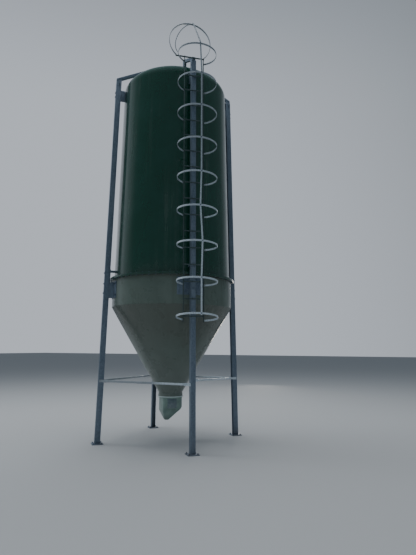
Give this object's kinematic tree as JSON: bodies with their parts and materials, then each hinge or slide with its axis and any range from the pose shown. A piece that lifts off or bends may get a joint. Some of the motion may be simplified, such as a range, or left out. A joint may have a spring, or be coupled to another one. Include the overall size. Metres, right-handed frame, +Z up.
{
  "type": "grain silo",
  "caption": "Grain silo with a tapered glass-fibre tank and cone hopper on leaning galvanised legs, with tube braces, an outlet boot and a caged ladder.",
  "frame": {"origin": "on the floor, at the middle of the bottom of the bounding box; the tank's axis, which is also the middle of the square of the feet, stands at x -0.119, y +0.141", "axes": "+Z up, parallel to the tank's axis; -Y towards the side with the front legs; +X towards the side of the ladder leg, which stands at +X -Y"},
  "size_m": [2.4236, 2.4674, 7.0036],
  "materials": {
    "tank": "dark green glossy gelcoat",
    "lip": "dark green, dull and dusty",
    "hopper": "translucent grey-green glass fibre",
    "boot": "translucent pale green glass fibre",
    "window": "dusty clear plastic sight window",
    "zinc": "weathered hot-dip galvanised",
    "bright_zinc": "bright galvanised"
  },
  "bodies": {
    "root": {"tank_body": "tank", "tank_roof": "tank", "roof_lid": "tank", "tank_flange": "lip", "hopper_skirt": "hopper", "hopper_cone": "hopper", "outlet_flange": "boot", "outlet_boot": "boot", "outlet_window": "window", "base_plate_front_left": "zinc", "leg_front_left": "zinc", "top_arm_front_left": "zinc", "top_bracket_front_left": "zinc", "hopper_bracket_front_left": "zinc", "base_plate_front_right": "zinc", "leg_front_right": "zinc", "top_arm_front_right": "zinc", "top_bracket_front_right": "zinc", "hopper_bracket_front_right": "zinc", "base_plate_back_right": "zinc", "leg_back_right": "zinc", "top_arm_back_right": "zinc", "top_bracket_back_right": "zinc", "hopper_bracket_back_right": "zinc", "base_plate_back_left": "zinc", "leg_back_left": "zinc", "top_arm_back_left": "zinc", "top_bracket_back_left": "zinc", "hopper_bracket_back_left": "zinc", "brace_front": "bright_zinc", "brace_right": "bright_zinc", "brace_back": "bright_zinc", "brace_left": "bright_zinc", "ladder": "zinc", "cage_hoop_1": "bright_zinc", "cage_hoop_2": "bright_zinc", "cage_hoop_3": "bright_zinc", "cage_hoop_4": "bright_zinc", "cage_hoop_5": "bright_zinc", "cage_hoop_6": "bright_zinc", "cage_hoop_7": "bright_zinc", "cage_hoop_8": "bright_zinc", "cage_hoop_9": "bright_zinc", "cage_strap": "bright_zinc", "guard_arch": "bright_zinc"}
  },
  "joints": []
}
